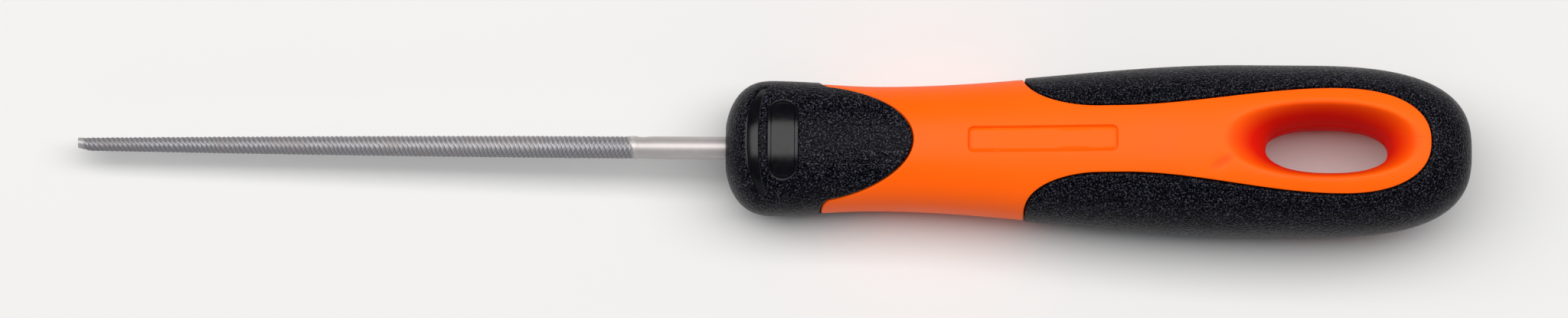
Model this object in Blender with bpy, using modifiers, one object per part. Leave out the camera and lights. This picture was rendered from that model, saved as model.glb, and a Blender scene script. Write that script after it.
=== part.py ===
# Small round file: a tapered steel blade with its tang driven into a hard moulded core, a soft collar
# over the front of the core and a soft pad round its sides and butt.
# The tool axis is X, with the blade's tip at the origin and the handle towards +X.
# Y runs across the handle's width, and Z through its thickness, along the hang hole.

import math

import bmesh
import bpy
from mathutils import Vector

mm = 0.001

# Blade
cut_length = 82.0 * mm
heel_show_length = 13.6 * mm  # plain steel between the cut and the handle
heel_seat_depth = 4.4 * mm  # plain steel inside the handle, as far as the shoulder
cut_diameter = 3.45 * mm  # over the cut, where the taper ends
heel_diameter = 3.35 * mm
tip_diameter = 2.05 * mm  # over the cut, behind the nose
nose_diameter = 1.5 * mm  # the flat end face
nose_length = 1.7 * mm
full_length = 7.0 * mm  # cut at its full diameter, between the taper and the heel
taper_power = 1.5  # the taper is fuller than a straight cone
tang_length = 34.0 * mm
tang_root_width = 2.2 * mm
tang_end_width = 1.1 * mm

# Handle form: half sizes over the soft pieces, distances from the collar's front or from the butt
handle_length = 110.0 * mm
collar_half_width = 9.95 * mm
collar_half_thickness = 8.5 * mm
waist_half_width = 9.36 * mm
waist_half_thickness = 8.4 * mm
belly_half_width = 12.7 * mm
belly_half_thickness = 10.9 * mm
front_dome_length = 6.9 * mm
butt_dome_length = 25.5 * mm
waist_from_front = 22.5 * mm  # the narrowest section
belly_from_butt = 34.0 * mm  # where the width is full
thin_from_front = 31.0 * mm  # where the thickness starts to grow
crown_from_butt = 41.0 * mm  # where the thickness is full
section_power = 2.2
front_dome_power = 2.4
butt_dome_power = 2.8
front_land_share = 0.32  # flat round the blade, as a share of the collar
butt_land_share = 0.2  # flat at the butt, as a share of the belly

# Soft pieces
soft_rise = 0.2 * mm  # how far they stand above the core
collar_wall = 2.0 * mm
pad_wall = 1.8 * mm
fit_gap = 0.3 * mm  # between any two pieces
tongue_length = 27.4 * mm  # collar's front to the tongue's end
tongue_half_width = 9.0 * mm
tongue_arc_length = 17.4 * mm
notch_from_front = 13.7 * mm  # where the two tongues part at the side
notch_radius = 1.1 * mm
strip_end_from_butt = 6.0 * mm  # end of the hard strip between the pads
strip_arc_length = 14.0 * mm
strip_half_width = 8.0 * mm  # beside the hang hole
strip_neck_half_width = 5.07 * mm
strip_neck_from_butt = 52.0 * mm
strip_arc_power = 2.3
pad_nose_from_butt = 65.9 * mm  # where the pads start at the side
pad_nose_length = 10.9 * mm
pad_nose_width = 5.0 * mm

# Smooth places set into the collar
relief_depth = 0.25 * mm
band_from_front = 2.75 * mm
band_width = 2.1 * mm
band_length = 16.6 * mm
band_corner_radius = 0.4 * mm
band_thinning_share = 0.45  # its rear edge bends less than its front edge
panel_from_front = 6.05 * mm
panel_width = 4.7 * mm
panel_length = 12.4 * mm

# Bare label recess on one broad face
label_from_front = 35.6 * mm
label_length = 21.9 * mm
label_width = 3.9 * mm
label_corner_radius = 0.8 * mm
label_depth = 0.4 * mm

# Hang hole
hole_from_butt = 21.3 * mm
hole_half_length = 9.1 * mm
hole_half_width = 3.5 * mm
hole_front_flare = 9.8 * mm
hole_rear_flare = 10.0 * mm
hole_side_flare = 5.0 * mm
hole_power = 2.3

overrun = 2.0 * mm  # how far a cutter reaches past what it cuts

# Mesh fineness
form_sides = 32
blade_sides = 16
hole_sides = 28
dome_steps = 6
waist_steps = 3
flare_steps = 8
crown_steps = 3
taper_steps = 8
arc_steps = 12
corner_steps = 5
hole_level_shares = (0.0, 0.35, 0.6, 0.78, 0.9, 0.97, 1.0)
smooth_angle = math.radians(35)

reach = cut_length + heel_show_length
butt_dome_start = handle_length - butt_dome_length


def clear_scene():
    for obj in list(bpy.data.objects):
        bpy.data.objects.remove(obj, do_unlink=True)


def new_collection(name):
    collection = bpy.data.collections.new(name)
    bpy.context.scene.collection.children.link(collection)
    return collection


def material(name, colour, roughness, metallic):
    made = bpy.data.materials.new(name)
    made.use_nodes = True
    shader = made.node_tree.nodes["Principled BSDF"]
    shader.inputs["Base Color"].default_value = (*colour, 1)
    shader.inputs["Roughness"].default_value = roughness
    shader.inputs["Metallic"].default_value = metallic
    made.diffuse_color = (*colour, 1)
    return made


def add_object(name, mesh, collection, parent=None):
    obj = bpy.data.objects.new(name, mesh)
    collection.objects.link(obj)
    obj.parent = parent
    return obj


def as_cutter(obj):
    obj.hide_render = True
    obj.display_type = "WIRE"
    return obj


def finish_mesh(bm, name):
    bmesh.ops.recalc_face_normals(bm, faces=bm.faces)
    mesh = bpy.data.meshes.new(name)
    bm.to_mesh(mesh)
    bm.free()
    return mesh


def add_boolean(obj, tool, operation="DIFFERENCE"):
    modifier = obj.modifiers.new(tool.name, "BOOLEAN")
    modifier.operation = operation
    modifier.solver = "EXACT"
    modifier.object = tool


def shade(obj, finish):
    obj.data.materials.append(finish)
    obj.data.shade_smooth()
    obj.data.set_sharp_from_angle(angle=smooth_angle)


# Shapes shared by several pieces


def loft_mesh(name, rings):
    """A closed skin through rings of points, with flat ends."""
    bm = bmesh.new()
    loops = []
    for points in rings:
        corners = [bm.verts.new(point) for point in points]
        loops.append([bm.edges.new(pair) for pair in zip(corners, corners[1:] + corners[:1])])
    for near, far in zip(loops, loops[1:]):
        bmesh.ops.bridge_loops(bm, edges=near + far)
    for end in (loops[0], loops[-1]):
        bmesh.ops.edgeloop_fill(bm, edges=end)
    return finish_mesh(bm, name)


def prism(name, outline, low, high, collection, parent):
    """An outline in X and Y, as a solid from the height low to the height high."""
    curve = bpy.data.curves.new(name, "CURVE")
    curve.dimensions = "2D"
    curve.fill_mode = "BOTH"
    curve.extrude = (high - low) / 2
    spline = curve.splines.new("POLY")
    spline.points.add(len(outline) - 1)
    for point, (x, y) in zip(spline.points, outline):
        point.co = (x, y, 0, 1)
    spline.use_cyclic_u = True
    flat = add_object(name + "_outline", curve, collection)
    graph = bpy.context.evaluated_depsgraph_get()
    mesh = bpy.data.meshes.new_from_object(flat.evaluated_get(graph))
    bpy.data.objects.remove(flat, do_unlink=True)
    bm = bmesh.new()
    bm.from_mesh(mesh)
    bpy.data.meshes.remove(mesh)
    bmesh.ops.remove_doubles(bm, verts=bm.verts, dist=fit_gap / 1000)
    solid = as_cutter(add_object(name, finish_mesh(bm, name), collection, parent))
    solid.location.z = (low + high) / 2
    return solid


def cylinder(name, radius, start, end, collection, parent):
    """A round cutter along X from start to end."""
    bm = bmesh.new()
    bmesh.ops.create_cone(
        bm, cap_ends=True, segments=blade_sides, radius1=radius, radius2=radius, depth=end - start
    )
    solid = as_cutter(add_object(name, finish_mesh(bm, name), collection, parent))
    solid.rotation_euler.y = math.radians(90)
    solid.location.x = (start + end) / 2
    return solid


def rounded_outline(length, width, radius):
    """A rectangle along X and Y about its centre, with round corners."""
    points = []
    for corner, (side_x, side_y) in enumerate(((1, 1), (-1, 1), (-1, -1), (1, -1))):
        centre_x = side_x * (length / 2 - radius)
        centre_y = side_y * (width / 2 - radius)
        for step in range(corner_steps + 1):
            angle = math.radians(90) * (corner + step / corner_steps)
            points.append((centre_x + radius * math.cos(angle), centre_y + radius * math.sin(angle)))
    return points


def placed(outline, x):
    return [(x + along, across) for along, across in outline]


def bent_band():
    """The smooth band's outline, which follows the collar's front edge as seen from above."""
    corners = rounded_outline(band_width, band_length, band_corner_radius)
    points = []
    for start, end in zip(corners, corners[1:] + corners[:1]):
        steps = 1 + round(abs(end[1] - start[1]) / band_width)
        for step in range(steps):
            along, across = (near + (far - near) * step / steps for near, far in zip(start, end))
            side_share = min(abs(across) / collar_half_width, 1)
            edge_share = (1 - side_share**front_dome_power) ** (1 / front_dome_power)
            thinning = band_thinning_share * (along / band_width + 0.5)
            points.append((along + front_dome_length * (1 - edge_share) * (1 - thinning), across))
    return placed(points, band_from_front + band_width / 2)


def grown(outline, amount):
    """The outline moved outwards by the amount, square to its edges. It runs anticlockwise."""
    moved = []
    for before, here, after in zip(outline[-1:] + outline[:-1], outline, outline[1:] + outline[:1]):
        into = (Vector(here) - Vector(before)).normalized()
        out = (Vector(after) - Vector(here)).normalized()
        normal = Vector((into.y + out.y, -into.x - out.x)).normalized()
        lean = normal.dot(Vector((into.y, -into.x)))
        moved.append(tuple(Vector(here) + normal * amount / lean))
    return moved


def eased(value, start, end):
    """0 at the start and 1 at the end, level at both."""
    share = min(max((value - start) / (end - start), 0), 1)
    return share * share * (3 - 2 * share)


def superellipse(angle, power):
    """A point of a rounded square of half size 1."""
    across = math.copysign(abs(math.cos(angle)) ** (2 / power), math.cos(angle))
    along = math.copysign(abs(math.sin(angle)) ** (2 / power), math.sin(angle))
    return across, along


# The handle's form, which every handle piece is cut from


def half_width(x):
    belly_start = handle_length - belly_from_butt
    to_waist = eased(x, front_dome_length, waist_from_front)
    to_belly = eased(x, waist_from_front, belly_start)
    narrowed = collar_half_width + (waist_half_width - collar_half_width) * to_waist
    return narrowed + (belly_half_width - waist_half_width) * to_belly


def half_thickness(x):
    crown_start = handle_length - crown_from_butt
    to_waist = eased(x, front_dome_length, waist_from_front)
    to_crown = eased(x, thin_from_front, crown_start)
    thinned = collar_half_thickness + (waist_half_thickness - collar_half_thickness) * to_waist
    return thinned + (belly_half_thickness - waist_half_thickness) * to_crown


def section(x, width, thickness):
    """A ring round X of these half sizes, with a flat facet on each side, top and bottom."""
    points = []
    for side in range(form_sides):
        angle = math.tau * (side + 0.5) / form_sides
        radius = (abs(math.cos(angle)) ** section_power + abs(math.sin(angle)) ** section_power) ** (
            -1 / section_power
        )
        points.append((radius * math.cos(angle), radius * math.sin(angle)))
    edge = max(across for across, up in points)
    return [Vector((x, width * across / edge, thickness * up / edge)) for across, up in points]


def dome_shares(land_share, power):
    """Steps of a dome from its land out to its foot: how far along, and how far across."""
    first = math.asin(land_share ** (power / 2))
    top = superellipse(first, power)[0]
    shares = []
    for step in range(dome_steps):
        angle = first + (math.radians(90) - first) * step / dome_steps
        height, across = superellipse(angle, power)
        shares.append((1 - height / top, across))
    return shares


def form_rings(inset):
    """Rings of the handle's form, drawn in all round by the inset."""
    rings = []
    for along, across in dome_shares(front_land_share, front_dome_power):
        x = inset + along * (front_dome_length - inset)
        width = across * (collar_half_width - inset)
        rings.append(section(x, width, across * (collar_half_thickness - inset)))
    crown_start = handle_length - crown_from_butt
    spans = (
        (front_dome_length, waist_from_front, waist_steps),
        (waist_from_front, crown_start, flare_steps),
        (crown_start, butt_dome_start, crown_steps),
    )
    for start, end, steps in spans:
        for step in range(steps):
            x = start + (end - start) * step / steps
            rings.append(section(x, half_width(x) - inset, half_thickness(x) - inset))
    width, thickness = belly_half_width - inset, belly_half_thickness - inset
    rings.append(section(butt_dome_start, width, thickness))
    for along, across in reversed(dome_shares(butt_land_share, butt_dome_power)):
        x = handle_length - inset - along * (butt_dome_length - inset)
        rings.append(section(x, across * width, across * thickness))
    return rings


def form(name, inset, collection, parent):
    return add_object(name, loft_mesh(name, form_rings(inset)), collection, parent)


# Where the soft pieces and the core meet, seen from above


def far_side():
    return belly_half_width + overrun


def mirrored(half):
    """An outline from its half on the +Y side, which runs towards the axis and may end on it."""
    other = [(x, -y) for x, y in reversed(half) if y > 0]
    return half + other


def collar_outline():
    """Everything ahead of the notches, and the tongue behind them."""
    centre_x = tongue_length - tongue_arc_length
    leave_x = notch_from_front + notch_radius
    leave_y = tongue_half_width * math.sqrt(1 - ((leave_x - centre_x) / tongue_arc_length) ** 2)
    half = [(-overrun, far_side()), (notch_from_front, far_side())]
    for step in range(corner_steps + 1):
        angle = math.radians(90) * step / corner_steps
        x = leave_x - notch_radius * math.cos(angle)
        half.append((x, leave_y + notch_radius * (1 - math.sin(angle))))
    first = math.asin((leave_x - centre_x) / tongue_arc_length)
    for step in range(1, arc_steps + 1):
        angle = first + (math.radians(90) - first) * step / arc_steps
        across = tongue_half_width * math.cos(angle) if step < arc_steps else 0
        half.append((centre_x + tongue_arc_length * math.sin(angle), across))
    return mirrored(half)[::-1]


def pads_outline():
    """Everything outside the hard strip, from the pads' noses to past the butt."""
    nose_x = handle_length - pad_nose_from_butt
    neck_x = handle_length - strip_neck_from_butt
    end_x = handle_length - strip_end_from_butt
    arc_x = end_x - strip_arc_length
    half = [(handle_length + overrun, far_side()), (nose_x, far_side())]
    for step in range(corner_steps * 2 + 1):
        angle = math.radians(90) * step / (corner_steps * 2)
        x = nose_x + pad_nose_length * (1 - math.cos(angle))
        half.append((x, strip_neck_half_width + pad_nose_width * (1 - math.sin(angle))))
    for step in range(arc_steps):
        x = neck_x + (arc_x - neck_x) * step / arc_steps
        widened = (strip_half_width - strip_neck_half_width) * eased(x, neck_x, arc_x)
        half.append((x, strip_neck_half_width + widened))
    for step in range(arc_steps + 1):
        angle = math.radians(90) * step / arc_steps
        across, along = superellipse(angle, strip_arc_power)
        wide = strip_half_width * across if step < arc_steps else 0
        half.append((arc_x + strip_arc_length * along, wide))
    return mirrored(half)


def recess(name, outline, floor_inset, collection, parent):
    """A cutter that leaves the form's own shape as the floor, drawn in by the inset."""
    reach_up = belly_half_thickness + overrun
    cutter = prism(name, outline, -reach_up, reach_up, collection, parent)
    floor = as_cutter(form(name + "_floor", floor_inset, collection, parent))
    add_boolean(cutter, floor)
    return cutter


# Blade


def blade_profile():
    """Radius and height, from the axis at the shoulder down to the axis at the tip."""
    shoulder = reach + heel_seat_depth
    taper_length = cut_length - full_length
    points = [(0, shoulder), (heel_diameter / 2, shoulder), (heel_diameter / 2, cut_length)]
    points.append((cut_diameter / 2, cut_length))
    for step in range(taper_steps + 1):
        height = taper_length + (nose_length - taper_length) * step / taper_steps
        fullness = 1 - (1 - height / taper_length) ** taper_power
        points.append(((tip_diameter + (cut_diameter - tip_diameter) * fullness) / 2, height))
    return points + [(nose_diameter / 2, 0), (0, 0)]


def tang_mesh(name, clearance):
    """A four-sided taper from inside the heel to its own end."""
    rings = []
    taper = (tang_root_width - tang_end_width) / tang_length
    for depth in (-overrun / 2, tang_length + clearance):
        half = (tang_root_width - taper * min(max(depth, 0), tang_length)) / 2 + clearance
        corners = ((half, half), (-half, half), (-half, -half), (half, -half))
        rings.append([Vector((heel_seat_depth + depth, y, z)) for y, z in corners])
    return loft_mesh(name, rings)


def make_blade(parts, cutters, handle):
    profile = bpy.data.meshes.new("file_blade")
    points = blade_profile()
    edges = [(index, index + 1) for index in range(len(points) - 1)]
    profile.from_pydata([(radius, 0, height) for radius, height in points], edges, [])
    blade = add_object("file_blade", profile, parts)
    blade.rotation_euler.y = math.radians(90)
    turn = blade.modifiers.new("turn", "SCREW")
    turn.steps = blade_sides
    turn.render_steps = blade_sides
    turn.use_merge_vertices = True
    turn.merge_threshold = fit_gap / 1000
    turn.use_smooth_shade = True
    tang = as_cutter(add_object("tang", tang_mesh("tang", 0), cutters, handle))
    add_boolean(blade, tang, "UNION")
    profile.materials.append(material("hardened_steel", (0.42, 0.42, 0.43), 0.35, 1))
    return blade


# Handle


def hang_hole(collection, parent):
    """A long hole through the thickness that flares to both faces."""
    centre = handle_length - hole_from_butt
    depth = belly_half_thickness + overrun / 4
    rings = []
    levels = [-share for share in reversed(hole_level_shares[1:])] + list(hole_level_shares)
    for level in levels:
        opened = 1 - math.sqrt(1 - level * level)
        ring = []
        for side in range(hole_sides):
            along, across = superellipse(math.tau * side / hole_sides, hole_power)
            flare = hole_rear_flare if along > 0 else hole_front_flare
            x = centre + along * (hole_half_length + opened * flare)
            ring.append(Vector((x, across * (hole_half_width + opened * hole_side_flare), level * depth)))
        rings.append(ring)
    return as_cutter(add_object("hang_hole", loft_mesh("hang_hole", rings), collection, parent))


def label_recess(collection, parent):
    """A shallow flat-floored pocket that leans with the core's face."""
    end = label_from_front + label_length
    low, high = half_thickness(label_from_front), half_thickness(end)
    lean = math.atan2(high - low, label_length)
    outline = rounded_outline(label_length, label_width, label_corner_radius)
    pocket = prism("label_recess", outline, 0, overrun, collection, parent)
    middle = Vector(((label_from_front + end) / 2, 0, (low + high) / 2 - soft_rise))
    out = Vector((-math.sin(lean), 0, math.cos(lean)))
    pocket.location = middle + out * (overrun / 2 - label_depth)
    pocket.rotation_euler.y = -lean
    return pocket


def make_core(parts, cutters, handle, heel_bore):
    core = form("handle_core", soft_rise, parts, handle)
    front = grown(collar_outline(), fit_gap)
    add_boolean(core, recess("collar_seat", front, collar_wall + fit_gap, cutters, handle))
    pads = grown(pads_outline(), fit_gap)
    add_boolean(core, recess("pad_seat", pads, pad_wall + fit_gap, cutters, handle))
    add_boolean(core, heel_bore)
    socket = as_cutter(add_object("socket", tang_mesh("socket", fit_gap), cutters, handle))
    add_boolean(core, socket)
    add_boolean(core, hang_hole(cutters, handle))
    add_boolean(core, label_recess(cutters, handle))
    shade(core, material("hard_orange_plastic", (1.0, 0.14, 0.0), 0.35, 0))
    return core


def make_collar(parts, cutters, handle, heel_bore, finish):
    collar = form("front_collar", 0, parts, handle)
    reach_up = belly_half_thickness + overrun
    outline = prism("collar_outline", collar_outline(), -reach_up, reach_up, cutters, handle)
    add_boolean(collar, outline, "INTERSECT")
    inside = as_cutter(form("collar_inside", collar_wall, cutters, handle))
    add_boolean(collar, inside)
    add_boolean(collar, heel_bore)
    panel = placed(
        rounded_outline(panel_width, panel_length, panel_width / 2), panel_from_front + panel_width / 2
    )
    floor = as_cutter(form("relief_floor", relief_depth, cutters, handle))
    for name, shape in (("band", bent_band()), ("panel", panel)):
        cutter = prism(name, shape, 0, reach_up, cutters, handle)
        add_boolean(cutter, floor)
        add_boolean(collar, cutter)
    shade(collar, finish)
    return collar


def make_grip(parts, cutters, handle, finish):
    grip = form("rear_grip", 0, parts, handle)
    reach_up = belly_half_thickness + overrun
    outline = prism("pads_outline", pads_outline(), -reach_up, reach_up, cutters, handle)
    add_boolean(grip, outline, "INTERSECT")
    inside = as_cutter(form("grip_inside", pad_wall, cutters, handle))
    add_boolean(grip, inside)
    shade(grip, finish)
    return grip


def main():
    clear_scene()
    parts = new_collection("round_file")
    cutters = new_collection("cutters")
    handle = add_object("handle", None, parts)
    handle.location.x = reach
    heel_bore = cylinder(
        "heel_bore", heel_diameter / 2 + fit_gap, -overrun, heel_seat_depth + fit_gap, cutters, handle
    )
    make_blade(parts, cutters, handle)
    make_core(parts, cutters, handle, heel_bore)
    make_collar(parts, cutters, handle, heel_bore, material("soft_black_collar", (0.02, 0.022, 0.03), 0.6, 0))
    make_grip(parts, cutters, handle, material("soft_black_grip", (0.02, 0.022, 0.03), 0.6, 0))


main()
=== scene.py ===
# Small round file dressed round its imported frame: steel blade, hard core, soft collar and soft pads.
# Lengths below are in millimetres and become metres when a mesh is made.
# The tool lies along X with the blade's tip at the origin; u is measured from the collar's front.

import math

import bmesh
import bpy
import numpy as np
from mathutils import Matrix, Vector


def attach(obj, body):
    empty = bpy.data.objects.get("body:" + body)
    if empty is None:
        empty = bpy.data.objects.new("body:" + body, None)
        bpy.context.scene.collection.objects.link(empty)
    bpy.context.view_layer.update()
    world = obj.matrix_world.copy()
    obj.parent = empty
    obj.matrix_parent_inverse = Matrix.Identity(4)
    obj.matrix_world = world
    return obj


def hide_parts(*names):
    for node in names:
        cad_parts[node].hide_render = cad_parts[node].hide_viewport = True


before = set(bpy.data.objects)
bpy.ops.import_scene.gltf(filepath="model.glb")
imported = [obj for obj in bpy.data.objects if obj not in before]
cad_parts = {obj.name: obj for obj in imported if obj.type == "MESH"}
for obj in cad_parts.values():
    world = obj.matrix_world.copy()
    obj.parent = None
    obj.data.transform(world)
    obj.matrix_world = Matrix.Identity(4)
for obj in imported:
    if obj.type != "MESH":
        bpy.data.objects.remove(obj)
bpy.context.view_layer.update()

mm = 0.001


# The handle's form, as the frame has it

form = {
    "front": 95.6,  # the collar's front, from the blade's tip
    "length": 110.0,
    "collarWidth": 9.95,  # half sizes over the soft pieces
    "collarThickness": 8.5,
    "waistWidth": 9.36,
    "waistThickness": 8.4,
    "bellyWidth": 12.7,
    "bellyThickness": 10.9,
    "frontDome": 6.9,
    "buttDome": 25.5,
    "waistAt": 22.5,
    "bellyAt": 76.0,
    "thinAt": 31.0,
    "crownAt": 69.0,
    "sectionPower": 2.2,
    "frontPower": 2.4,
    "buttPower": 2.8,
    "frontLand": 0.32,
    "buttLand": 0.2,
    "boreLand": 0.185,  # where the front land meets the blade's hole
    "aroundRadius": 10.0,  # turns an angle into a length on the flat sheet
    "landSteps": 30,
    "domeSteps": 600,
    "bodySteps": 900,
}


def eased(value, start, end):
    share = np.clip((value - start) / (end - start), 0, 1)
    return share * share * (3 - 2 * share)


def halfWidth(u):
    toWaist = eased(u, form["frontDome"], form["waistAt"])
    toBelly = eased(u, form["waistAt"], form["bellyAt"])
    narrowed = form["collarWidth"] + (form["waistWidth"] - form["collarWidth"]) * toWaist
    return narrowed + (form["bellyWidth"] - form["waistWidth"]) * toBelly


def halfThickness(u):
    toWaist = eased(u, form["frontDome"], form["waistAt"])
    toCrown = eased(u, form["thinAt"], form["crownAt"])
    thinned = form["collarThickness"] + (form["waistThickness"] - form["collarThickness"]) * toWaist
    return thinned + (form["bellyThickness"] - form["waistThickness"]) * toCrown


def domeCurve(land, power):
    # from the land out to the foot: how far along, and how far across
    angles = np.linspace(math.asin(land ** (power / 2)), math.pi / 2, form["domeSteps"])
    heights = np.abs(np.cos(angles)) ** (2 / power)
    return 1 - heights / heights[0], np.sin(angles) ** (2 / power)


def makeMeridian():
    # the form's side line from the bore to the middle of the butt, by its own length
    land = np.linspace(form["boreLand"], form["frontLand"], form["landSteps"])[:-1]
    along, across = domeCurve(form["frontLand"], form["frontPower"])
    backAlong, backAcross = (part[::-1] for part in domeCurve(form["buttLand"], form["buttPower"]))
    body = np.linspace(form["frontDome"], form["length"] - form["buttDome"], form["bodySteps"])[1:-1]
    close = np.linspace(form["buttLand"], 0, form["landSteps"])[1:]
    u = [land * 0, along * form["frontDome"], body, form["length"] - backAlong * form["buttDome"]]
    pull = [land * 0 + 1, 1 - along, body * 0, backAlong - 1, close * 0 - 1]
    share = [land, across, body * 0 + 1, backAcross, close]
    u = np.concatenate(u + [close * 0 + form["length"]])
    share = np.concatenate(share)
    steps = np.hypot(np.diff(u), np.diff(share * halfWidth(u)))
    return {
        "m": np.concatenate([[0], np.cumsum(steps)]),
        "u": u,
        "pull": np.concatenate(pull),
        "share": share,
    }


meridian = makeMeridian()
meridianLength = meridian["m"][-1]
sheetAround = math.tau * form["aroundRadius"]


def meridianAt(u):
    return float(np.interp(u, meridian["u"], meridian["m"]))


def wrapped(flat, boreRadius):
    # flat points (along the side line, around, depth below the form) laid on the form
    along, around, depth = np.asarray(flat, float).reshape(-1, 3).T
    u, pull, share = (np.interp(along, meridian["m"], meridian[key]) for key in ("u", "pull", "share"))
    angle = around / form["aroundRadius"]
    power = form["sectionPower"]
    across, up = np.cos(angle), np.sin(angle)
    reach = (np.abs(across) ** power + np.abs(up) ** power) ** (-1 / power)
    y = share * (halfWidth(u) - depth) * reach * across
    z = share * (halfThickness(u) - depth) * reach * up
    opened = np.clip((share - form["boreLand"]) / (form["frontLand"] - form["boreLand"]), 0, 1)
    opened = np.where(u > form["frontDome"], 1, opened)
    y = y * opened + boreRadius * across * (1 - opened)
    z = z * opened + boreRadius * up * (1 - opened)
    return np.stack([u + pull * depth + form["front"], y, z], axis=1)


# Plan outlines, where the soft pieces meet the core; u along, y across

outlines = {
    "far": 14.7,  # beyond the form's sides
    "overrun": 2.0,  # and past its ends
    "tongueEnd": 27.4,
    "tongueWidth": 9.0,
    "tongueArc": 17.4,
    "notchAt": 13.7,
    "notchRadius": 2.1,
    "stripEnd": 104.0,
    "stripArc": 14.0,
    "stripWidth": 8.28,
    "stripNeckWidth": 5.33,
    "stripNeckAt": 58.0,
    "stripPower": 2.3,
    "padNoseAt": 44.1,
    "padNoseLength": 10.9,
    "padNoseWidth": 5.0,
    "steps": 40,
    "cornerSteps": 12,
}


def quarter(count, first=0.0):
    return np.linspace(first, math.pi / 2, count + 1)


def mirroredOutline(u, y):
    # the whole outline from its half on the +Y side
    return np.concatenate([np.stack([u, y], axis=1), np.stack([u[::-1], -y[::-1]], axis=1)])


def collarOutline():
    o = outlines
    centre = o["tongueEnd"] - o["tongueArc"]
    leaveU = o["notchAt"] + o["notchRadius"]
    leaveY = o["tongueWidth"] * math.sqrt(1 - ((leaveU - centre) / o["tongueArc"]) ** 2)
    turn = quarter(o["steps"])
    notchU = leaveU - o["notchRadius"] * np.cos(turn)
    notchY = leaveY + o["notchRadius"] * (1 - np.sin(turn))
    sweep = quarter(o["steps"] * 2, math.asin((leaveU - centre) / o["tongueArc"]))[1:]
    u = np.concatenate([[-o["overrun"], o["notchAt"]], notchU, centre + o["tongueArc"] * np.sin(sweep)])
    y = np.concatenate([[o["far"], o["far"]], notchY, o["tongueWidth"] * np.cos(sweep)])
    return mirroredOutline(u, y)


def padsOutline():
    o = outlines
    turn = quarter(o["steps"])
    noseU = o["padNoseAt"] + o["padNoseLength"] * (1 - np.cos(turn))
    noseY = o["stripNeckWidth"] + o["padNoseWidth"] * (1 - np.sin(turn))
    arcAt = o["stripEnd"] - o["stripArc"]
    neckU = np.linspace(o["stripNeckAt"], arcAt, o["steps"] + 1)[:-1]
    widening = (o["stripWidth"] - o["stripNeckWidth"]) * eased(neckU, o["stripNeckAt"], arcAt)
    neckY = o["stripNeckWidth"] + widening
    sweep = quarter(o["steps"] * 2)
    endU = arcAt + o["stripArc"] * np.sin(sweep) ** (2 / o["stripPower"])
    endY = o["stripWidth"] * np.abs(np.cos(sweep)) ** (2 / o["stripPower"])
    u = np.concatenate([[form["length"] + o["overrun"], o["padNoseAt"]], noseU, neckU, endU])
    y = np.concatenate([[o["far"], o["far"]], noseY, neckY, endY])
    return mirroredOutline(u, y)


def roundedOutline(startU, length, width, radius):
    # a rectangle with round corners, starting at this u; it runs anticlockwise
    points = []
    for corner, (sideU, sideY) in enumerate(((1, 1), (-1, 1), (-1, -1), (1, -1))):
        for angle in quarter(outlines["cornerSteps"]):
            turn = angle + corner * math.pi / 2
            u = startU + length / 2 + sideU * (length / 2 - radius) + radius * math.cos(turn)
            points.append((u, sideY * (width / 2 - radius) + radius * math.sin(turn)))
    return np.array(points)


def bentBand():
    # the band follows the collar's front edge, its rear side a little less
    c, f = collar, form
    corners = roundedOutline(c["bandAt"], c["bandWidth"], c["bandLength"], c["bandCorner"])
    points = []
    for start, end in zip(corners, np.roll(corners, -1, axis=0)):
        pieces = 1 + round(abs(end[1] - start[1]) / c["bandWidth"] * 2)
        points += [start + (end - start) * step / pieces for step in range(pieces)]
    u, y = np.array(points).T
    edgeShare = (1 - np.minimum(np.abs(y) / f["collarWidth"], 1) ** f["frontPower"]) ** (1 / f["frontPower"])
    thinning = c["bandThinning"] * (u - c["bandAt"]) / c["bandWidth"]
    return np.stack([u + f["frontDome"] * (1 - edgeShare) * (1 - thinning), y], axis=1)


def planDistance(places, outline):
    # distance from the outline in plan, positive inside it
    starts, ends = outline, np.roll(outline, -1, axis=0)
    spans = ends - starts
    squares = np.maximum((spans ** 2).sum(axis=1), 1e-12)
    nearest = np.full(len(places), 1e9)
    inside = np.zeros(len(places), bool)
    for start, end, span, square in zip(starts, ends, spans, squares):
        offset = places - start
        share = np.clip(offset @ span / square, 0, 1)
        nearest = np.minimum(nearest, ((offset - share[:, None] * span) ** 2).sum(axis=1))
        if start[1] != end[1]:
            crosses = (start[1] > places[:, 1]) != (end[1] > places[:, 1])
            meets = start[0] + (places[:, 1] - start[1]) * span[0] / span[1]
            inside ^= crosses & (places[:, 0] < meets)
    return np.where(inside, 1, -1) * np.sqrt(nearest)


# Sheets: a flat grid is cut along the outlines, given its depths and laid on the form

sheets = {
    "onLevel": 1e-6,  # a vertex this near to a level counts as on it
    "cutWeld": 0.02,  # vertices closer than this are joined after a cut
    "laidWeld": 0.003,  # and after the sheet is laid on the form
    "otherFace": -10,  # the value of an outline on the face that it doesn't cut
    "margin": 0.4,  # past the end of a soft piece
}


def flatSheet(start, end, spacing):
    sheet = bmesh.new()
    rows = round((end - start) / spacing)
    columns = 4 * round(sheetAround / spacing / 4)
    bmesh.ops.create_grid(sheet, x_segments=rows, y_segments=columns, size=0.5)
    bmesh.ops.scale(sheet, vec=(end - start, sheetAround, 1), verts=sheet.verts)
    bmesh.ops.translate(sheet, vec=((start + end) / 2, sheetAround / 2, 0), verts=sheet.verts)
    return sheet


def flatPoints(sheet):
    return np.array([vert.co for vert in sheet.verts], float)


def planOf(flat, boreRadius):
    places = wrapped(flat * (1, 1, 0), boreRadius)
    places[:, 0] -= form["front"]
    return places


def outlineField(flat, boreRadius, outline, topOnly=False):
    places = planOf(flat, boreRadius)
    values = planDistance(places[:, :2], outline)
    return np.where(places[:, 2] > 0, values, sheets["otherFace"]) if topOnly else values


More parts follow.
